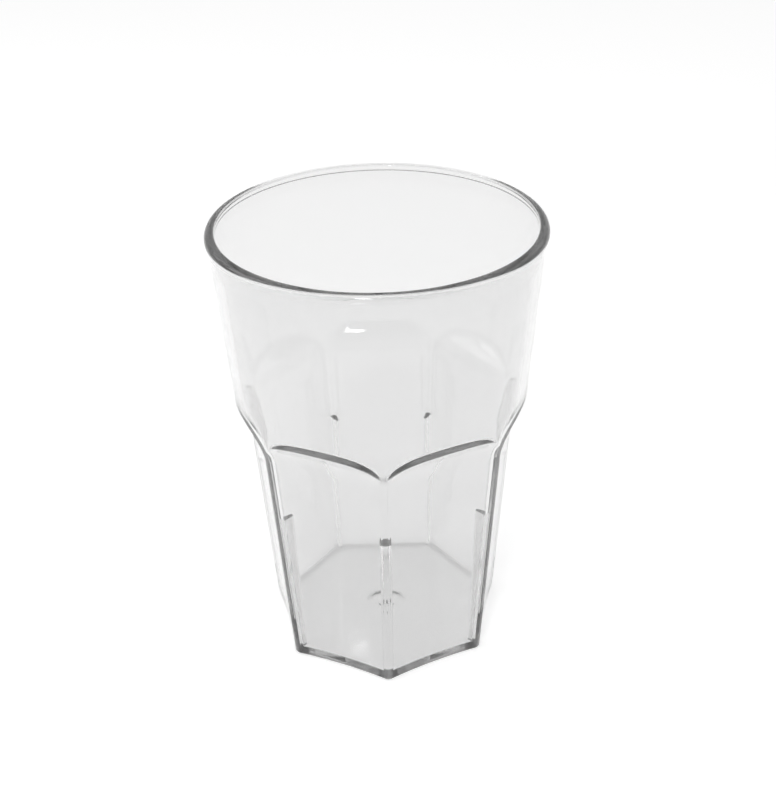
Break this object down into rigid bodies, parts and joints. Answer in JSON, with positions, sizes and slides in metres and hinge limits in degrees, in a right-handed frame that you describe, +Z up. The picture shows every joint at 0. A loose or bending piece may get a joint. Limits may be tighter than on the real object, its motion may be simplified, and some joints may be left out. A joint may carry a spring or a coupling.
{
  "type": "plastic shot glass",
  "caption": "Small clear plastic drinking glass for a single shot, with seven slightly hollow flats below, a round flared mouth, a thin rim bead and stacking ribs inside.",
  "frame": {"origin": "middle of the foot, on the surface that the glass stands on", "axes": "+Z up along the axis to the mouth; one corner of the flats faces -Y"},
  "size_m": [0.044, 0.044, 0.063],
  "materials": {
    "clear_polystyrene": "water-clear, polished as moulded"
  },
  "bodies": {
    "root": {"shot_glass": "clear_polystyrene"}
  },
  "joints": []
}
